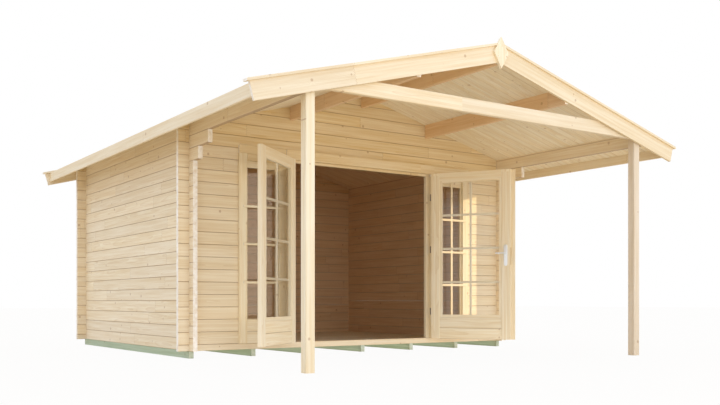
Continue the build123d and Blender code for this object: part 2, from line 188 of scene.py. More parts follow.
    # growth rings: distance from a pith line that wanders along the board
    wanderScale = addNode(tree, "VectorMath", {0: stock, 1: (1.3, 7.0, 7.0)}, 0, operation="MULTIPLY")
    wander = addNode(tree, "TexNoise", {"Vector": wanderScale, "Scale": 1.0, "Detail": 2.0}, 0)
    deepest, widest = (v * mm for v in figure["pithSpreadMm"])
    pithDepth = addNode(tree, "MapRange", {0: draws[1], 3: 0.01, 4: deepest}, 0)
    pithSide = addNode(tree, "MapRange", {0: draws[2], 3: -widest / 2, 4: widest / 2}, 0)
    ringY = addNode(tree, "Math", {0: inBoard[1], 1: pithDepth}, 0, operation="ADD")
    ringZ = addNode(tree, "Math", {0: inBoard[2], 1: pithSide}, 0, operation="ADD")
    fromPith = addNode(tree, "CombineXYZ", {1: ringY, 2: ringZ}, 0)
    ringRadius = addNode(tree, "VectorMath", {0: fromPith}, "Value", operation="LENGTH")
    wavy = addNode(tree, "Math", {0: wander, 1: figure["wanderMm"] * mm, 2: ringRadius}, 0,
                   operation="MULTIPLY_ADD")
    wavy = addNode(tree, "Math", {0: wavy, 1: bent}, 0, operation="ADD")
    ringCount = addNode(tree, "Math", {0: wavy, 1: figure["ringMm"] * mm}, 0, operation="DIVIDE")
    ringPhase = addNode(tree, "Math", {0: ringCount}, 0, operation="FRACT")
    summerWood = addNode(tree, "Math", {0: ringPhase, 1: 3.0}, 0, operation="POWER")

    # long streaks and fine fibres
    streakScale = (1.4, 1000 / figure["streakMm"], 1000 / figure["streakMm"])
    fibreScale = (9.0, 1000 / figure["fibreMm"], 1000 / figure["fibreMm"])
    streakPlace = addNode(tree, "VectorMath", {0: stock, 1: streakScale}, 0, operation="MULTIPLY")
    streak = addNode(tree, "TexNoise", {"Vector": streakPlace, "Scale": 1.0, "Detail": 3.0,
                                        "Roughness": 0.6}, 0)
    fibrePlace = addNode(tree, "VectorMath", {0: stock, 1: fibreScale}, 0, operation="MULTIPLY")
    fibre = addNode(tree, "TexNoise", {"Vector": fibrePlace, "Scale": 1.0, "Detail": 1.0}, 0)

    # colour, from the broad streaks down to knots, joints and grooves
    pale, warm, late, dark = (linear(palette[key]) for key in ("pale", "warm", "late", "joint"))
    streakShare = addNode(tree, "MapRange", {0: streak, 1: 0.36, 2: 0.66}, 0)
    colour = addNode(tree, "Mix", {0: streakShare, 6: pale, 7: warm}, 2, data_type="RGBA")
    lateShare = addNode(tree, "Math", {0: summerWood, 1: figure["lateShare"]}, 0, operation="MULTIPLY")
    colour = addNode(tree, "Mix", {0: lateShare, 6: colour, 7: late}, 2, data_type="RGBA")
    darkest, lightest = figure["tone"]
    weakest, strongest = figure["strength"]
    tone = addNode(tree, "MapRange", {0: draws[0], 3: darkest, 4: lightest}, 0)
    strength = addNode(tree, "MapRange", {0: draws[1], 3: weakest, 4: strongest}, 0)
    colour = addNode(tree, "HueSaturation", {"Color": colour, "Value": tone, "Saturation": strength}, 0)
    colour = addNode(tree, "Mix", {0: knot, 6: colour, 7: linear(palette["knot"])}, 2, data_type="RGBA")
    if look.get("fingers"):
        # finger joint: a zigzag saw line across the board wherever two lengths meet
        finger = fingerJoint["fingerMm"] * mm
        zigzag = addNode(tree, "Math", {0: inBoard[2], 1: finger}, 0, operation="PINGPONG")
        ends = addNode(tree, "Math", {0: zigzag, 1: along}, 0, operation="ADD")
        seam = addNode(tree, "Math", {0: ends, 1: pitch[0] / 2}, 0, operation="PINGPONG")
        outer, inner = (v * mm for v in fingerJoint["lineMm"])
        line = addNode(tree, "MapRange", {0: seam, 1: outer, 2: inner, 3: 0.0, 4: fingerJoint["share"]}, 0)
        colour = addNode(tree, "Mix", {0: line, 6: colour, 7: dark}, 2, data_type="RGBA")
    if look.get("groove"):
        # painted shade in the V between two boards, darkest where they meet
        edge = addNode(tree, "Math", {0: inBoard[2]}, 0, operation="ABSOLUTE")
        deep = pitch[2] / 2
        start = deep - grooveMm * mm
        shade = addNode(tree, "MapRange", {0: edge, 1: start, 2: deep, 3: 0.0, 4: look["groove"]}, 0,
                        interpolation_type="SMOOTHSTEP")
        colour = addNode(tree, "Mix", {0: shade, 6: colour, 7: dark}, 2, data_type="RGBA")

    # sawn ends: paler, blotched where the saw tore the fibres, with the rings showing
    endFacing = addNode(tree, "Mapping", {"Vector": facing, "Rotation": turn}, 0, vector_type="VECTOR")
    endFacing = addNode(tree, "SeparateXYZ", {0: endFacing}, 0)
    endFacing = addNode(tree, "Math", {0: endFacing}, 0, operation="ABSOLUTE")
    isEnd = addNode(tree, "MapRange", {0: endFacing, 1: 0.75, 2: 0.85}, 0)
    blotches = 1000 / sawnEnd["blushMm"]
    blotch = addNode(tree, "TexNoise", {"Vector": place, "Scale": blotches, "Detail": 3.0}, 0)
    blotch = addNode(tree, "MapRange", {0: blotch, 1: 0.42, 2: 0.68, 4: sawnEnd["blushShare"]}, 0)
    endColour = addNode(tree, "Mix", {0: blotch, 6: linear(palette["ends"]), 7: linear(palette["blush"])}, 2,
                        data_type="RGBA")
    endRings = addNode(tree, "Math", {0: summerWood, 1: sawnEnd["ringShare"]}, 0, operation="MULTIPLY")
    endColour = addNode(tree, "Mix", {0: endRings, 6: endColour, 7: late}, 2, data_type="RGBA")
    colour = addNode(tree, "Mix", {0: isEnd, 6: colour, 7: endColour}, 2, data_type="RGBA")

    upward = addNode(tree, "SeparateXYZ", {0: coords["Normal"]}, 2)
    if look.get("room"):
        # painted shade: faces that look into the room, a box about its middle, are drawn deeper for the dim
        # light there
        away = addNode(tree, "VectorMath", {0: coords["Object"], 1: room["middle"]}, 0, operation="SUBTRACT")
        away = addNode(tree, "VectorMath", {0: away}, 0, operation="ABSOLUTE")
        away = addNode(tree, "SeparateXYZ", {0: away}).outputs
        insideX = addNode(tree, "Math", {0: away[0], 1: room["half"][0]}, 0, operation="LESS_THAN")
        insideY = addNode(tree, "Math", {0: away[1], 1: room["half"][1]}, 0, operation="LESS_THAN")
        under = addNode(tree, "Math", {0: upward, 1: 0.5}, 0, operation="LESS_THAN")
        share = addNode(tree, "Math", {0: insideX, 1: insideY}, 0, operation="MULTIPLY")
        share = addNode(tree, "Math", {0: share, 1: under}, 0, operation="MULTIPLY")
        colour = addNode(tree, "Mix", {0: share, 6: colour, 7: linear(roomShade)}, 2, data_type="RGBA",
                         blend_type="MULTIPLY")
    if look.get("topShade"):
        # painted shade: faces that look up at the sky are drawn deeper, to hold back the strong light on them
        top = addNode(tree, "Math", {0: upward, 1: 0.5}, 0, operation="GREATER_THAN")
        colour = addNode(tree, "Mix", {0: top, 6: colour, 7: linear(look["topShade"])}, 2, data_type="RGBA",
                         blend_type="MULTIPLY")

    rough = addNode(tree, "MapRange", {0: fibre, 1: 0.3, 2: 0.7, 3: 0.52, 4: 0.68}, 0)
    height = addNode(tree, "Math", {0: summerWood, 1: 0.5, 2: fibre}, 0, operation="MULTIPLY_ADD")
    bump = addNode(tree, "Bump", {"Height": height, "Strength": 0.35, "Distance": figure["bumpMm"] * mm}, 0)
    shader = addNode(tree, "BsdfPrincipled", {"Base Color": colour, "Roughness": rough, "Normal": bump,
                                              "IOR": 1.5, "Specular IOR Level": 0.32}, 0)
    addNode(tree, "OutputMaterial", {0: shader})
    return material


# Places that the pieces below share, read back from the frame

roofLow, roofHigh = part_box("roof_right")
floorLow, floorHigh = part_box("floor_deck")
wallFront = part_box("front_sill_log")[0].y
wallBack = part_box("back_wall_logs")[1].y
roof = dict(slope=0.27, thickMm=19.0, boards=62, grooveMm=4.0, gapMm=0.6, stockMm=4000.0, shade=0.4)
roofAngle = math.degrees(math.atan(roof["slope"]))
boardRise = roof["thickMm"] * mm * math.sqrt(1 + roof["slope"] ** 2)
ridgeUnder = roofHigh.z - boardRise + roof["slope"] * roofLow.x
joints = {joint["child"]: joint for joint in frame["joints"]}
leafTurn = {body: -joints[body]["range_deg"][0] * joints[body]["axis"][2]
            for body in ("left_door", "right_door")}

# Softwood finishes, one for each way that the grain and the boards lie

log = dict(highMm=120.0, thickMm=45.0, stockMm=2300.0, groove=0.65)
wholeMm = 5200.0  # stock longer than the piece, so that no joint shows
clearMm = 5000.0  # further than any piece reaches, for a grid that doesn't split it
lieAcross = (0, 0, 0)
lieDeep = (0, 0, -90)
standUp = (0, 90, 0)
wallGapMm = (wallBack - wallFront) / mm - log["thickMm"]
frontMidMm = wallFront / mm + log["thickMm"] / 2
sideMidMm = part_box("right_wall_logs")[1].x / mm - log["thickMm"] / 2
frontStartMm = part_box("front_left_logs")[0].z / mm
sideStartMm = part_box("left_wall_logs")[0].z / mm
skinMm = 2.0  # the room's box reaches this far into the walls
room = dict(middle=(0.0, (wallFront + wallBack) / 2, 1.2),
            half=((sideMidMm - log["thickMm"] / 2 + skinMm) * mm,
                  (wallBack - wallFront) / 2 - (log["thickMm"] - skinMm) * mm))

lyingAcross = dict(turn=lieAcross, origin=(0, frontMidMm - wallGapMm / 2, frontStartMm),
                   pitch=(log["stockMm"], wallGapMm, log["highMm"]), fingers=True, groove=log["groove"],
                   room=True)
crossLogs = softwood("planed_spruce_cross_logs", lyingAcross)
dress(crossLogs, "front_left_logs", "front_right_logs", "front_sill_log", "back_wall_logs")
# the gable logs and the header log take the deeper palette, painted shade under the canopy
gableLogs = softwood("planed_spruce_gable_logs", lyingAcross, canopyShadeSpruce)
dress(gableLogs, "front_gable_logs", "back_gable_logs", "front_header_log")

sideLogs = softwood("planed_spruce_side_logs", dict(
    turn=lieDeep, origin=(0, -2 * sideMidMm, sideStartMm),
    pitch=(log["stockMm"], 2 * sideMidMm, log["highMm"]), fingers=True, groove=log["groove"], room=True,
    seed=4.0))
dress(sideLogs, "left_wall_logs", "right_wall_logs", "left_corbel_logs", "right_corbel_logs",
      "left_wall_plate", "right_wall_plate")

purlinGapMm = (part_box("mid_purlins")[1].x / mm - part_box("ridge_purlin")[1].x / mm) / 2
purlinStockMm = 3100.0
roofTimber = dict(turn=lieDeep, origin=(0, -purlinGapMm / 2, 0), pitch=(purlinStockMm, purlinGapMm, clearMm),
                  fingers=True, seed=7.0)
# the purlins take the redder palette, painted shade for the warm shade under the roof
dress(softwood("planed_spruce_purlins", roofTimber, purlinShadeSpruce), "ridge_purlin", "mid_purlins")
dress(softwood("planed_spruce_fascias", roofTimber), "eave_fascias")

tie = dict(belowMm=20.0, cellMm=160.0)
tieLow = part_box("tie_beam")[0]
tieWood = softwood("planed_spruce_tie_beam", dict(
    turn=lieAcross, origin=(0, tieLow.y / mm, tieLow.z / mm - tie["belowMm"]),
    pitch=(wholeMm, log["thickMm"], tie["cellMm"]), seed=9.0))
dress(tieWood, "tie_beam")

postMm = 80.0
# the right post takes a darker, greyer palette than the left one
for post, palette, seed in (("left_post", joinery, 12.0), ("right_post", darkGreySpruce, 13.0)):
    postLow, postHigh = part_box(post)
    postWood = softwood(f"planed_spruce_{post}", dict(
        turn=standUp, origin=(0, postLow.y / mm, -postHigh.x / mm), pitch=(wholeMm, postMm, postMm),
        seed=seed), palette)
    dress(postWood, post)

casing = dict(wideMm=88.0, cellMm=1500.0, knotAcross=90.0)
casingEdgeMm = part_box("door_jambs")[1].x / mm
uprightTrim = softwood("planed_spruce_upright_trim", dict(
    turn=standUp, mirror=True, origin=(0, 0, -casingEdgeMm), seed=15.0, knotAcross=casing["knotAcross"],
    pitch=(wholeMm, casing["cellMm"], casing["wideMm"])), joinery)
dress(uprightTrim, "door_jambs", "side_casings", "window_stiles", "gable_finials")

trimAcross = dict(turn=lieAcross, origin=(0, -clearMm, 0), pitch=(wholeMm, 2 * clearMm, clearMm), seed=18.0)
crossTrim = softwood("planed_spruce_cross_trim", trimAcross, joinery)
dress(crossTrim, "window_rails")
# the heads take the deeper palette, painted shade under the canopy
dress(softwood("planed_spruce_heads", trimAcross, canopyShadeSpruce), "door_head", "head_casings")

# two boards under each light, with a V where they meet
lowBoard = dict(topMm=245.0, highMm=118.0, groove=0.6)
lowBoards = dict(origin=(0, -clearMm, lowBoard["topMm"] - lowBoard["highMm"]),
                 pitch=(wholeMm, 2 * clearMm, lowBoard["highMm"]), groove=lowBoard["groove"])
panelWood = softwood("planed_spruce_panel_boards", dict(lowBoards, turn=lieAcross, seed=19.0), joinery)
dress(panelWood, "window_panels")

bargeStockMm = 3400.0
bargeWood = softwood("planed_spruce_barge_boards", dict(
    turn=(0, -roofAngle, 0), mirror=True, origin=(0, 0, 0), pitch=(bargeStockMm, 2 * clearMm, 2 * clearMm),
    fingers=True, seed=21.0))
dress(bargeWood, "front_barge_boards", "back_barge_boards", "roof_edge_strips")

# Pressure-treated pine: the same grain, dyed a pale grey-green by the salts
bearer = dict(halfMm=23.0, eachSide=3, cellMm=200.0)
bearerGapMm = (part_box("floor_bearers")[1].x / mm - bearer["halfMm"]) / bearer["eachSide"]
bearerWood = softwood("pressure_treated_pine", dict(
    turn=lieDeep, origin=(0, -bearerGapMm / 2, 0), pitch=(wholeMm, bearerGapMm, bearer["cellMm"]),
    seed=24.0), treatedPine)
dress(bearerWood, "floor_bearers")

barWood = {}
for side in ("left", "right"):
    body = f"{side}_door"
    upright = dict(turn=standUp, origin=(0, -clearMm, -clearMm), pitch=(wholeMm, 2 * clearMm, clearMm),
                   seed=27.0 + leafTurn[body] / 90)
    level = dict(turn=(0, 0, -leafTurn[body]), origin=(0, -clearMm, 0),
                 pitch=(wholeMm, 2 * clearMm, clearMm), seed=30.0)
    stiles = softwood(f"planed_spruce_{side}_leaf_stiles", upright, joinery)
    dress(stiles, f"{side}_leaf_stiles")
    dress(softwood(f"planed_spruce_{side}_leaf_rails", level, joinery), f"{side}_leaf_rails")
    leafBoards = softwood(f"planed_spruce_{side}_leaf_boards", {**level, **lowBoards}, joinery)
    dress(leafBoards, f"{side}_leaf_boards")
    # the leaf bars are drawn paler than the stiles, painted light for how they show behind the pane
    barWood[body] = (softwood(f"planed_spruce_{side}_upright_bar", upright, paintedLightBars),
                     softwood(f"planed_spruce_{side}_level_bars", level, paintedLightBars))
dress(stiles, "meeting_strip")
print("softwood finishes made")


# Float glass, polished and clear, which lets the lamps through to the room
glassLook = dict(tint="#FCFBF8", mirrored="#DACFC3", ior=1.52, smudgesPerMetre=9.0, rough=0.03)


def floatGlass():
    material, tree = newMaterial("float_glass")
    path = addNode(tree, "LightPath").outputs
    place = addNode(tree, "TexCoord").outputs["Object"]
    smudges = glassLook["smudgesPerMetre"]
    smudge = addNode(tree, "TexNoise", {"Vector": place, "Scale": smudges, "Detail": 4.0}, 0)
    rough = addNode(tree, "MapRange", {0: smudge, 1: 0.45, 2: 0.8, 3: 0.0, 4: glassLook["rough"]}, 0)
    pane = addNode(tree, "BsdfPrincipled", {"Base Color": linear(glassLook["tint"]), "Roughness": rough,
                                            "IOR": glassLook["ior"], "Transmission Weight": 1.0,
                                            "Specular Tint": linear(glassLook["mirrored"])}, 0)
    clear = addNode(tree, "BsdfTransparent", {0: (1, 1, 1, 1)}, 0)
    lets = addNode(tree, "MixShader", {0: path["Is Shadow Ray"], 1: pane, 2: clear}, 0)
    addNode(tree, "OutputMaterial", {0: lets})
    return material


dress(floatGlass(), "window_glass", "left_leaf_glass", "right_leaf_glass")

# Plated steel, brushed: fine lines along the plates and soft broad highlights. The lines are drawn coarser
# than the real 0.1 mm so that they show in the render.
nickel = dict(colour="#F8F8F8", dull="#EAEAEA", brushMm=1.2, rough=(0.26, 0.4))
zincPlate = dict(colour="#B9B2A6", dull="#9C948A", brushMm=2.0, rough=(0.35, 0.5))
yellowPlate = dict(colour="#D8BE8C", dull="#B99B66", brushMm=1.6, rough=(0.3, 0.45))
brushLong = 12.0  # lines per metre along their length


def platedSteel(name, look):
    material, tree = newMaterial(name)
    place = addNode(tree, "TexCoord").outputs["Object"]
    scale = 1000 / look["brushMm"]
    brushed = addNode(tree, "VectorMath", {0: place, 1: (scale, scale, brushLong)}, 0, operation="MULTIPLY")
    lines = addNode(tree, "TexNoise", {"Vector": brushed, "Scale": 1.0, "Detail": 2.0}, 0)
    colour = addNode(tree, "Mix", {0: lines, 6: linear(look["colour"]), 7: linear(look["dull"])}, 2,
                     data_type="RGBA")
    smoothest, roughest = look["rough"]
    rough = addNode(tree, "MapRange", {0: lines, 1: 0.3, 2: 0.7, 3: smoothest, 4: roughest}, 0)
    shader = addNode(tree, "BsdfPrincipled", {"Base Color": colour, "Metallic": 1.0, "Roughness": rough}, 0)
    addNode(tree, "OutputMaterial", {0: shader})
    return material


steel = platedSteel("satin_nickel_steel", nickel)
zinc = platedSteel("zinc_plated_steel", zincPlate)
brassed = platedSteel("yellow_passivated_steel", yellowPlate)
dress(zinc, "hinge_posts", "left_hinge_flaps", "right_hinge_flaps")
dress(steel, "handle_plates", "lever_handle")
print("glass and steel made")


# Pieces made of skins: rows of points that follow each other, with end faces

def skin(rings):
    # rings[bar, row, column]: quads join each row to the next, and one face closes each end of a bar
    bars, rows, columns = rings.shape[:3]
    index = np.arange(bars * rows * columns).reshape(bars, rows, columns)
    here = index[:, :-1]
    after = index[:, 1:]
    quads = np.stack([here, np.roll(here, -1, 2), np.roll(after, -1, 2), after], -1).reshape(-1, 4)
    caps = np.concatenate([index[:, 0, ::-1], index[:, -1]])
    points = rings.reshape(-1, 3)
    # outward when the volume, a third of the sum of place times area, comes out positive
    a, b, c, d = (points[quads[:, i]] for i in range(4))
    centre = points.mean(0)
    volume = np.einsum("ij,ij->i", a + b + c + d - 4 * centre, np.cross(c - a, d - b)).sum()
    if volume < 0:
        quads = quads[:, ::-1]
        caps = caps[:, ::-1]
    return points, quads, caps


def addPiece(name, parts, material, body="root", stands=(), smooth=False):
    points = []
    faces = []
    count = 0
    for rings in parts:
        verts, quads, caps = skin(rings)
        points.append(verts)
        faces += (quads + count).tolist() + (caps + count).tolist()
        count += len(verts)
    mesh = bpy.data.meshes.new(name)
    mesh.from_pydata(np.concatenate(points), [], faces)
    mesh.update()
    if smooth:
        mesh.shade_smooth()
        mesh.set_sharp_from_angle(angle=math.radians(35))
    mesh.materials.append(material)
    piece = bpy.data.objects.new(name, mesh)
    bpy.context.scene.collection.objects.link(piece)
    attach(piece, body)
    if stands:
        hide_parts(*stands)
    return piece


def roundedSection(width, depth, radius, steps=3):
    # a rectangle about the origin with quarter-circle corners, anticlockwise
    angles = np.radians(np.arange(4)[:, None] * 90 + np.linspace(0, 90, steps + 1))
    signs = np.array([(1, 1), (-1, 1), (-1, -1), (1, -1)])[:, None]
    corners = signs * (width / 2 - radius, depth / 2 - radius)
    return (corners + radius * np.stack([np.cos(angles), np.sin(angles)], -1)).reshape(-1, 2)


rightward = (1, 0, 0)
forward = (0, -1, 0)
upwards = (0, 0, 1)


def bar(start, end, section, across, outward=forward):
    # a straight bar: the section's first axis lies across it, the second points outward
    ends = np.array([start, end], float)[None, :, None]
    spread = section[:, :1] * np.array(across, float) + section[:, 1:] * np.array(outward, float)
    return ends + spread


def swung(points, body):
    # places on the closed leaf, turned about the hinge line to the rest opening
    angle = math.radians(leafTurn[body])
    axis = np.array(joints[body]["pos_m"][:2])
    x, y = (points[..., i] - axis[i] for i in (0, 1))
    newX = axis[0] + x * math.cos(angle) - y * math.sin(angle)
    newY = axis[1] + x * math.sin(angle) + y * math.cos(angle)
    return np.stack([newX, newY, points[..., 2]], -1)


# Roof boards run from the ridge to the eave, side by side, with a V on the underside at every joint

def roofSlope(side):
    # one board's section, repeated along Y and carried down the slope, falling away from the ridge
    groove = roof["grooveMm"] * mm
    gap = roof["gapMm"] * mm
    cover = (roofHigh.y - roofLow.y) / roof["boards"]
    starts = roofLow.y + cover * np.arange(roof["boards"])
    profile = np.array([(gap / 2, groove), (gap / 2 + groove, 0), (cover - gap / 2 - groove, 0),
                        (cover - gap / 2, groove), (cover - gap / 2, boardRise), (gap / 2, boardRise)])
    reach = np.array([roofLow.x, roofHigh.x])
    shape = (len(starts), 2, len(profile))
    x = np.broadcast_to(side * reach[None, :, None], shape)
    y = np.broadcast_to(starts[:, None, None] + profile[:, 0], shape)
    z = ridgeUnder - roof["slope"] * np.abs(x) + profile[:, 1]
    return np.stack([x, y, z], -1), cover


for side, name in ((-1, "left"), (1, "right")):
    boards, cover = roofSlope(side)
    wood = softwood(f"planed_spruce_{name}_roof_boards", dict(
        turn=(90, 0, -side * roofAngle), origin=(0, -clearMm, roofLow.y / mm),
        pitch=(roof["stockMm"], 2 * clearMm, cover / mm), groove=roof["shade"], room=True,
        topShade=roofTopShade, seed=33.0 + side, knotAcross=cover / mm), palePlanks)
    addPiece(f"{name}_roof_boards", [boards], wood, stands=(f"roof_{name}",))

# Floor boards: tongued boards across the bearers
floor = dict(boards=36, grooveMm=1.5, gapMm=0.8, stockMm=2100.0, shade=0.6)


def floorBoards():
    # one board's section with eased upper edges, repeated along Y and carried straight across
    ease = floor["grooveMm"] * mm
    gap = floor["gapMm"] * mm
    cover = (floorHigh.y - floorLow.y) / floor["boards"]
    thick = floorHigh.z - floorLow.z
    starts = floorLow.y + cover * np.arange(floor["boards"])
    profile = np.array([(gap / 2, 0), (cover - gap / 2, 0), (cover - gap / 2, thick - ease),
                        (cover - gap / 2 - ease, thick), (gap / 2 + ease, thick), (gap / 2, thick - ease)])
    shape = (len(starts), 2, len(profile))
    x = np.broadcast_to(np.array([floorLow.x, floorHigh.x])[None, :, None], shape)
    y = np.broadcast_to(starts[:, None, None] + profile[:, 0], shape)
    z = np.broadcast_to(floorLow.z + profile[:, 1], shape)
    return np.stack([x, y, z], -1), cover


boards, cover = floorBoards()
floorWood = softwood("planed_spruce_floor_boards", dict(
    turn=(90, 0, 0), origin=(0, -clearMm, floorLow.y / mm),
    pitch=(floor["stockMm"], 2 * clearMm, cover / mm), fingers=True, groove=floor["shade"],
    seed=36.0, knotAcross=cover / mm), palePlanks)
addPiece("floor_boards", [boards], floorWood, stands=("floor_deck",))
print("roof and floor boards laid")

# Glazing bars: on the windows a lattice lapped onto the casings, on the leaves one set in by the pane
lattice = dict(wideMm=24.0, thickMm=13.0, easeMm=2.5, gapMm=0.3)
windowLight = dict(xMm=(1047.0, 1400.0), zMm=(362.0, 1866.0), levelsMm=(730.0, 1107.0, 1479.0), faceMm=-28.0,
                   lapMm=42.0)
leafLight = dict(xMm=(130.0, 788.0), zMm=(395.0, 1870.0), levelsMm=(757.0, 1131.0, 1506.0), faceMm=-31.5,
                 lapMm=-0.3)


def latticeBars(light, side):
    # one upright in the middle of the light, and at each level a bar from each side up to it
    section = roundedSection(lattice["wideMm"] * mm, lattice["thickMm"] * mm, lattice["easeMm"] * mm)
    lap = light["lapMm"]
    x = [side * (light["xMm"][0] - lap) * mm, side * (light["xMm"][1] + lap) * mm]
    z = [(light["zMm"][0] - lap) * mm, (light["zMm"][1] + lap) * mm]
    middle = (x[0] + x[1]) / 2
    reach = side * (lattice["wideMm"] / 2 + lattice["gapMm"]) * mm
    y = wallFront + (light["faceMm"] - lattice["thickMm"] / 2) * mm
    bars = [bar((middle, y, z[0]), (middle, y, z[1]), section, rightward)]
    for level in light["levelsMm"]:
        for run in ((x[0], middle - reach), (middle + reach, x[1])):
            bars.append(bar((run[0], y, level * mm), (run[1], y, level * mm), section, upwards))
    return bars


for side, name in ((-1, "left"), (1, "right")):
    bars = latticeBars(windowLight, side)
    addPiece(f"{name}_window_upright_bar", bars[:1], uprightTrim)
    addPiece(f"{name}_window_level_bars", bars[1:], crossTrim)
    body = f"{name}_door"
    bars = [swung(part, body) for part in latticeBars(leafLight, side)]
    addPiece(f"{name}_leaf_upright_bar", bars[:1], barWood[body][0], body)
    addPiece(f"{name}_leaf_level_bars", bars[1:], barWood[body][1], body)
print("glazing bars set")


# Small ironwork. Shapes are placed on the closed right-hand leaf, measured from the middle of the doorway.

def turned(profile, place, axis, sides=24):
    # rings of (radius, height) pairs about an axis through a place, in mm
    axis = np.array(axis, float)
    first = np.cross(axis, (0.36, 0.48, 0.8))
    first /= np.linalg.norm(first)
    second = np.cross(axis, first)
    angles = np.linspace(0, 2 * np.pi, sides, endpoint=False)[:, None]
    circle = np.cos(angles) * first + np.sin(angles) * second
    radius, height = np.array(profile, float).T[:, :, None, None]
    return (np.array(place, float) + height * axis + radius * circle)[None] * mm


def repeated(rings, places):
    # the same small shape at many places, in mm
    return rings + np.array(places, float)[:, None, None] * mm


def raised(outline, place, outward, stations):
    # an outline in the XZ plane lifted off a face: each station is a rise and an inset towards the middle
    rows = [np.insert(outline(inset), 1, outward * rise, axis=1) for rise, inset in stations]
    return (np.array(place, float) + np.array(rows))[None] * mm


def onWall(rings):
    # from the front wall's own frame to the cabin's
    return rings + np.array([0, wallFront, 0])


screw = dict(headMm=4.0, domeMm=0.9, sides=16)
screwHead = [(0.9 * screw["headMm"], -0.5), (screw["headMm"], 0.0),
             (0.86 * screw["headMm"], 0.5 * screw["domeMm"]), (0.5 * screw["headMm"], screw["domeMm"])]

# Lever handle on long plates, one each side of the leaf, with the spindle's collar and a key cylinder
handle = dict(fromMiddleMm=55.0, lowMm=928.0, highMm=1163.0, wideMm=41.0, plateMm=5.0, screwInMm=15.0,
              facesMm=(-50.0, -8.0))
lever = dict(heightMm=1069.0, standMm=46.0, longMm=108.0, bendMm=15.0, neckMm=8.0, flatMm=5.5, highMm=8.0,
             tipMm=7.0)
collar = dict(radiusMm=12.5, riseMm=4.2)
cylinder = dict(belowMm=85.0, radiusMm=8.5, halfWideMm=5.0, longMm=24.5, riseMm=2.5)


def plateOutline(inset):
    # a long plate with half-round ends
    radius = handle["wideMm"] / 2 - inset
    straight = (handle["highMm"] - handle["lowMm"] - handle["wideMm"]) / 2
    angles = np.radians(np.concatenate([np.linspace(0, 180, 15), np.linspace(180, 360, 15)]))
    lift = np.repeat([straight, -straight], 15)
    return np.stack([radius * np.cos(angles), radius * np.sin(angles) + lift], -1)


def cylinderOutline(inset):
    # a round plug over a narrow tail: the further out of a circle and a slot that points down
    down = np.linspace(-np.pi, np.pi, 60, endpoint=False)
    tail = np.minimum(cylinder["longMm"] / np.maximum(np.cos(down), 0.01),
                      cylinder["halfWideMm"] / np.maximum(np.abs(np.sin(down)), 0.01))
    reach = np.where(np.cos(down) > 0, np.maximum(cylinder["radiusMm"], tail), cylinder["radiusMm"]) - inset
    return np.stack([reach * np.sin(down), -reach * np.cos(down)], -1)


def handleParts(face, outward):
    # a plate with an eased edge, and on it a key cylinder, a collar and two screws
    x = handle["fromMiddleMm"]
    rise = handle["plateMm"]
    away = (0, outward, 0)
    top = face + outward * rise
    middle = (handle["lowMm"] + handle["highMm"]) / 2
    easedEdge = ((0, 0), (rise - 1.6, 0), (rise - 0.5, 0.6), (rise, 1.8))
    parts = [raised(plateOutline, (x, face, middle), outward, easedEdge)]
    key = lever["heightMm"] - cylinder["belowMm"]
    plug = ((-0.5, 0), (cylinder["riseMm"] - 0.5, 0), (cylinder["riseMm"], 0.5))
    parts.append(raised(cylinderOutline, (x, top, key), outward, plug))
    radius = collar["radiusMm"]
    ring = ((radius, -0.5), (radius, collar["riseMm"] - 1), (radius - 1, collar["riseMm"]))
    parts.append(turned(ring, (x, top, lever["heightMm"]), away))
    head = turned(screwHead, (0, 0, 0), away, screw["sides"])
    ends = (handle["lowMm"] + handle["screwInMm"], handle["highMm"] - handle["screwInMm"])
    parts += [repeated(head, [(x, top, z)]) for z in ends]
    return parts


def leverArm(face, outward):
    # an oval section carried out of the plate, round a quarter bend and along the grip to a rounded tip
    bend = lever["bendMm"]
    gripEnd = lever["longMm"] - lever["tipMm"]
    turn = np.linspace(0, np.pi / 2, 10)
    grip = np.linspace(bend, gripEnd, 7)[1:]
    tip = np.linspace(0, 1, 7)[1:]
    straight = len(grip) + len(tip)
    along = np.concatenate([np.zeros(2), bend * (1 - np.cos(turn)), grip, gripEnd + lever["tipMm"] * tip])
    out = np.concatenate([[2.0, 12.0], lever["standMm"] - bend + bend * np.sin(turn),
                          np.full(straight, lever["standMm"])])
    heading = np.concatenate([np.zeros(2), turn, np.full(straight, np.pi / 2)])
    shrink = np.concatenate([np.ones(len(along) - len(tip)), np.sqrt(1 - (0.97 * tip) ** 2)])
    share = np.clip(heading / (np.pi / 2), 0, 1)
    deep = (lever["neckMm"] + (lever["flatMm"] - lever["neckMm"]) * share) * shrink
    high = (lever["neckMm"] + (lever["highMm"] - lever["neckMm"]) * share) * shrink
    angles = np.linspace(0, 2 * np.pi, 24, endpoint=False)
    side = deep[:, None] * np.cos(angles)
    x = handle["fromMiddleMm"] + along[:, None] + side * np.cos(heading)[:, None]
    y = face + outward * (out[:, None] - side * np.sin(heading)[:, None])
    z = lever["heightMm"] + high[:, None] * np.sin(angles)
    return np.stack([x, y, z], -1)[None] * mm


plates = []
arms = []
for face, outward in zip(handle["facesMm"], (-1, 1)):
    plates += [swung(onWall(part), "right_door") for part in handleParts(face, outward)]
    arms.append(swung(onWall(leverArm(face, outward)), "right_door"))
addPiece("handle_long_plates", plates, steel, "right_door", ("handle_plates",), smooth=True)
addPiece("lever_arms", arms, steel, "lever", ("lever_handle",), smooth=True)

# Butt hinges: a flap on the jamb's rebate and one on the leaf's edge, screwed on, with a barrel between them
hinge = dict(xMm=917.5, yMm=-56.5, heightsMm=(430.0, 1130.0, 1720.0), halfMm=38.0, splitMm=0.5, barrelMm=6.0,
             plateMm=2.2, cornerMm=4.0, neckMm=1.0, neckCornerMm=0.3, backMm=-13.0, jambXMm=920.0,
             jambFrontMm=-45.0, leafXMm=915.0, leafFrontMm=-50.0, headMm=4.2, proudMm=0.2, screwStepMm=24.0,
             screwAsideMm=5.0)


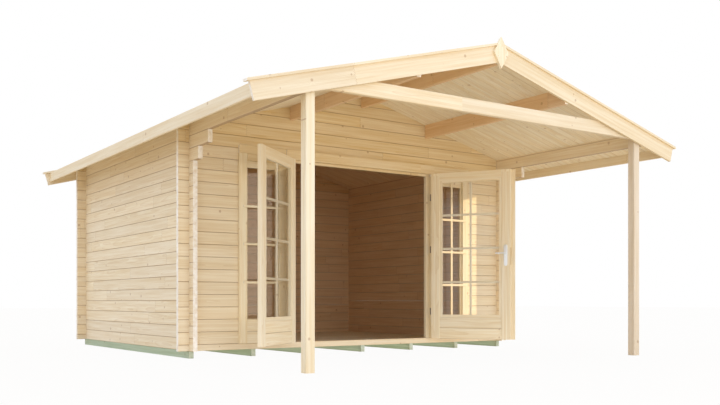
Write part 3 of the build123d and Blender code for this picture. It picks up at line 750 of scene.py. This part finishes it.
def hingeHalf(z, low, xs, front, facing):
    # a flap with three screws, a neck to the barrel on one half of its height, and that half of the barrel
    half = hinge["halfMm"]
    span = (z - half, z - hinge["splitMm"]) if low else (z + hinge["splitMm"], z + half)
    tall = span[1] - span[0]
    neckFront = hinge["yMm"] + hinge["neckMm"]
    flapSection = roundedSection(2 * half * mm, (hinge["backMm"] - front) * mm, hinge["cornerMm"] * mm)
    neckDeep = front - hinge["yMm"] + hinge["neckMm"]
    neckSection = roundedSection(tall * mm, neckDeep * mm, hinge["neckCornerMm"] * mm)
    flapY = (hinge["backMm"] + front) / 2
    neckY = (front + neckFront) / 2
    parts = []
    for y, height, section in ((flapY, z, flapSection), (neckY, sum(span) / 2, neckSection)):
        start, end = ((x * mm, y * mm, height * mm) for x in xs)
        parts.append(bar(start, end, section, upwards))
    radius = hinge["barrelMm"]
    tip = ((radius, 0), (radius, tall - 2.5), (0.8 * radius, tall - 0.8), (0.4 * radius, tall))
    start, way = (span[1], -1) if low else (span[0], 1)
    parts.append(turned(tip, (hinge["xMm"], hinge["yMm"], start), (0, 0, way)))
    head = hinge["headMm"]
    dome = ((head, -0.5), (head, 0), (0.7 * head, hinge["proudMm"]))
    dome = turned(dome, (0, 0, 0), (facing, 0, 0), screw["sides"])
    surface = xs[0] if facing < 0 else xs[1]
    for step, aside in ((-1, 1), (0, -1), (1, 1)):
        place = (surface, flapY + aside * hinge["screwAsideMm"], z + step * hinge["screwStepMm"])
        parts.append(repeated(dome, [place]))
    return parts


jambX = (hinge["jambXMm"] - hinge["plateMm"], hinge["jambXMm"])
leafX = (hinge["leafXMm"], hinge["leafXMm"] + hinge["plateMm"])
fixedHalves = []
for z in hinge["heightsMm"]:
    fixedHalves += [onWall(part) for part in hingeHalf(z, True, jambX, hinge["jambFrontMm"], -1)]
fixedHalves += [part * (-1, 1, 1) for part in fixedHalves]
addPiece("jamb_hinge_flaps", fixedHalves, zinc, "root", ("hinge_posts",), smooth=True)
for side, name in ((-1, "left"), (1, "right")):
    body = f"{name}_door"
    movingHalves = []
    for z in hinge["heightsMm"]:
        for part in hingeHalf(z, False, leafX, hinge["leafFrontMm"], 1):
            movingHalves.append(swung(onWall(part) * (side, 1, 1), body))
    addPiece(f"{name}_leaf_hinge_flaps", movingHalves, zinc, body, (f"{name}_hinge_flaps",),
             smooth=True)

# Lock forend let into the free edge of the right-hand leaf, with its latch and bolt
forend = dict(edgeMm=3.0, yMm=-29.0, lowMm=940.0, highMm=1130.0, wideMm=20.0, cornerMm=3.0, proudMm=0.8,
              sunkMm=1.0, latchMm=(12.0, 20.0), latchCornerMm=1.5, boltBelowMm=18.0, screwInMm=12.0)


def forendParts():
    # flat bars that stand out of the leaf's edge: the plate, then latch and bolt, then screws
    y = forend["yMm"] * mm
    middle = (forend["lowMm"] + forend["highMm"]) / 2
    face = forend["edgeMm"] - forend["proudMm"]
    tall = forend["highMm"] - forend["lowMm"]
    plate = roundedSection(tall * mm, forend["wideMm"] * mm, forend["cornerMm"] * mm)
    latchWide, latchTall = forend["latchMm"]
    latch = roundedSection(latchTall * mm, latchWide * mm, forend["latchCornerMm"] * mm)
    back = (forend["edgeMm"] + forend["sunkMm"]) * mm
    parts = [bar((back, y, middle * mm), (face * mm, y, middle * mm), plate, upwards)]
    bolt = lever["heightMm"] - cylinder["belowMm"] - forend["boltBelowMm"]
    for z in (lever["heightMm"], bolt):
        parts.append(bar((face * mm, y, z * mm), ((face - 1) * mm, y, z * mm), latch, upwards))
    head = turned(screwHead, (0, 0, 0), (-1, 0, 0), screw["sides"])
    for z in (forend["lowMm"] + forend["screwInMm"], forend["highMm"] - forend["screwInMm"]):
        parts.append(repeated(head, [(face - 0.1, forend["yMm"], z)]))
    return parts


lockParts = [swung(onWall(part), "right_door") for part in forendParts()]
addPiece("lock_forend", lockParts, brassed, "right_door", smooth=True)
print("handle, hinges and lock fitted")

# Round nail heads: two in every roof board at the ridge, the mid purlin and the wall, and one in every floor
# board over each bearer
nail = dict(headMm=4.5, riseMm=0.6, inMm=22.0, fromRidgeMm=35.0, fromPurlinMm=25.0, fromFloorEdgeMm=30.0,
            sides=8)
nailHead = [(0.95 * nail["headMm"], -0.6), (nail["headMm"], 0.2), (0.8 * nail["headMm"], nail["riseMm"])]
floorNailHead = [(3.2, -0.8), (3.4, 0.0), (2.6, 0.3)]


def roofNails(side):
    # a grid of rows down the slope and pairs along it, each head square to the boards
    cover = (roofHigh.y - roofLow.y) / roof["boards"] / mm
    starts = roofLow.y / mm + cover * np.arange(roof["boards"])
    rows = np.array([nail["fromRidgeMm"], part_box("mid_purlins")[1].x / mm - nail["fromPurlinMm"], sideMidMm])
    y = np.concatenate([starts + nail["inMm"], starts + cover - nail["inMm"]])
    x, y = (grid.ravel() for grid in np.meshgrid(side * rows, y))
    z = (ridgeUnder + boardRise) / mm - roof["slope"] * np.abs(x)
    tilt = math.radians(roofAngle)
    head = turned(nailHead, (0, 0, 0), (side * math.sin(tilt), 0, math.cos(tilt)), nail["sides"])
    return repeated(head, np.stack([x, y, z], -1))


def floorNails():
    # a grid of bearers across and boards along, less the nails that the walls would cover
    cover = (floorHigh.y - floorLow.y) / floor["boards"] / mm
    y = floorLow.y / mm + cover * (np.arange(floor["boards"]) + 0.5)
    x = bearerGapMm * np.arange(-bearer["eachSide"], bearer["eachSide"] + 1)
    x, y = (grid.ravel() for grid in np.meshgrid(x, y))
    inside = np.abs(x) < floorHigh.x / mm - nail["fromFloorEdgeMm"]
    head = turned(floorNailHead, (0, 0, 0), upwards, nail["sides"])
    return repeated(head, np.stack([x, y, np.full(len(x), floorHigh.z / mm)], -1)[inside])


addPiece("roof_nails", [roofNails(-1), roofNails(1)], zinc)
addPiece("floor_nails", [floorNails()], zinc)
print("nails driven")


# White ground and surround, soft even light, a broad panel in front and a low warm lamp from the right

studio = dict(skyLevel=1.32, sky="#E8F0FF", floorColour="#DFCDB1", floorSize=120.0, shadowShare=0.05)
frontPanel = dict(power=124.0, colour="#FFF6E8", place=(0.3, -9.5, 1.7), aim=(0.0, -1.5, 1.3),
                  size=(7.0, 3.2))
lowLamp = dict(power=11000.0, colour="#FFE7BE", aim=(1.45, 0.0, 0.9), away=12.6, azimuth=71.1, height=17.0,
               cone=9.6, edge=0.05, soft=0.03, door=0.5)
lowLampLights = ("front_right_logs", "side_casings", "head_casings", "window_stiles", "window_rails",
                 "window_panels", "door_jambs", "right_window_upright_bar", "right_window_level_bars")
# light that a white ground throws back up: between the bearers, and in front of the doorway
groundGlow = dict(under=dict(power=22.0, colour="#E3F2FF", place=(0.0, 0.97, 0.004), size=(3.9, 3.2)),
                  front=dict(power=7.0, colour="#F4FAFF", place=(0.0, -1.3, 0.004), size=(4.4, 1.2)))
seenKinds = ("Is Camera Ray", "Is Transmission Ray", "Is Glossy Ray")


def seenDirectly(tree):
    # 1 for rays that show the surround itself, and 0 for those that carry its light
    path = addNode(tree, "LightPath").outputs
    seen = path[seenKinds[0]]
    for kind in seenKinds[1:]:
        seen = addNode(tree, "Math", {0: seen, 1: path[kind]}, 0, operation="MAXIMUM")
    return seen


def whiteSurround():
    world = bpy.data.worlds.new("white_surround")
    bpy.context.scene.world = world
    world.use_nodes = True
    tree = world.node_tree
    tree.nodes.clear()
    light = addNode(tree, "Background", {"Color": linear(studio["sky"]), "Strength": studio["skyLevel"]}, 0)
    white = addNode(tree, "Background", {"Color": (1, 1, 1, 1), "Strength": 1.0}, 0)
    both = addNode(tree, "MixShader", {0: seenDirectly(tree), 1: light, 2: white}, 0)
    addNode(tree, "OutputWorld", {0: both})


def paleFloor():
    # matt ground that looks white and keeps a little of the cabin's shadow
    material, tree = newMaterial("matt_white_ground")
    matt = addNode(tree, "BsdfDiffuse", {"Color": linear(studio["floorColour"])}, 0)
    white = addNode(tree, "Emission", {"Color": (1, 1, 1, 1), "Strength": 1.0}, 0)
    most = 1 - studio["shadowShare"]
    share = addNode(tree, "Math", {0: seenDirectly(tree), 1: most}, 0, operation="MULTIPLY")
    both = addNode(tree, "MixShader", {0: share, 1: matt, 2: white}, 0)
    addNode(tree, "OutputMaterial", {0: both})
    half = studio["floorSize"] / 2
    mesh = bpy.data.meshes.new("studio_floor")
    corners = [(-half, -half, 0), (half, -half, 0), (half, half, 0), (-half, half, 0)]
    mesh.from_pydata(corners, [], [(0, 1, 2, 3)])
    mesh.materials.append(material)
    ground = bpy.data.objects.new("studio_floor", mesh)
    bpy.context.scene.collection.objects.link(ground)


def addLamp(name, kind, colour, turn, place, **settings):
    data = bpy.data.lights.new(name, kind)
    data.color = linear(colour)[:3]
    for key, value in settings.items():
        setattr(data, key, value)
    lamp = bpy.data.objects.new(name, data)
    lamp.location = place
    lamp.rotation_euler = turn
    bpy.context.scene.collection.objects.link(lamp)
    return lamp


def addPanel(name, look, turn):
    return addLamp(name, "AREA", look["colour"], turn, look["place"], energy=look["power"],
                   shape="RECTANGLE", size=look["size"][0], size_y=look["size"][1])


def softLight():
    # a lamp shines along its own -Z, so it is turned to look from its place at what it lights
    x, y, z = (aim - place for aim, place in zip(frontPanel["aim"], frontPanel["place"]))
    panel = addPanel("front_panel", frontPanel, (math.atan2(math.hypot(x, y), -z), 0, math.atan2(-x, y)))
    panel.visible_glossy = False
    for name, glow in groundGlow.items():
        lamp = addPanel(f"{name}_ground_glow", glow, (math.pi, 0, 0))
        lamp.visible_camera = False
        lamp.visible_glossy = False
        lamp.visible_transmission = False


def warmBeam():
    # the azimuth is counted from straight in front of the wall towards its right-hand end
    bearing = math.radians(lowLamp["azimuth"])
    up = math.radians(lowLamp["height"])
    way = (math.sin(bearing) * math.cos(up), -math.cos(bearing) * math.cos(up), math.sin(up))
    place = [aim + lowLamp["away"] * part for aim, part in zip(lowLamp["aim"], way)]
    beam = addLamp("low_warm_lamp", "SPOT", lowLamp["colour"], (math.pi / 2 - up, 0, bearing), place,
                   energy=lowLamp["power"], spot_size=math.radians(lowLamp["cone"]),
                   spot_blend=lowLamp["edge"], shadow_soft_size=lowLamp["soft"])
    # it lights only the wall beside the doorway
    lit = bpy.data.collections.new("lit_by_low_lamp")
    for name in lowLampLights:
        lit.objects.link(bpy.data.objects[name])
    beam.light_linking.receiver_collection = lit
    # a barn door keeps it off the log ends at the corner: sideways over forwards, seen from the lamp
    beam.data.use_nodes = True
    tree = beam.data.node_tree
    tree.nodes.clear()
    ray = addNode(tree, "SeparateXYZ", {0: addNode(tree, "TexCoord").outputs["Normal"]}).outputs
    aside = addNode(tree, "Math", {0: ray[0], 1: ray[2]}, 0, operation="DIVIDE")
    doorEdge = lowLamp["door"] / lowLamp["away"]
    clear = addNode(tree, "Math", {0: aside, 1: doorEdge}, 0, operation="GREATER_THAN")
    addNode(tree, "OutputLight", {0: addNode(tree, "Emission", {"Strength": clear}, 0)})


view = dict(place=(-5.2978, -8.3453, 0.5475), turn=(90.0, 0.0, -34.406), focalPx=865.2, horizonPx=300.9,
            frame=(720, 405), sensorMm=36.0)


def photoCamera():
    # the focal length and the horizon line were measured in the picture's own pixels
    data = bpy.data.cameras.new("photo_camera")
    wide, high = view["frame"]
    data.sensor_width = view["sensorMm"]
    data.lens = view["focalPx"] / wide * view["sensorMm"]
    data.shift_y = (view["horizonPx"] - high / 2) / wide
    camera = bpy.data.objects.new("photo_camera", data)
    camera.location = view["place"]
    camera.rotation_euler = [math.radians(a) for a in view["turn"]]
    bpy.context.scene.collection.objects.link(camera)
    bpy.context.scene.camera = camera


whiteSurround()
paleFloor()
softLight()
warmBeam()
photoCamera()
bpy.context.scene.view_settings.view_transform = "Standard"
print("light and camera set")
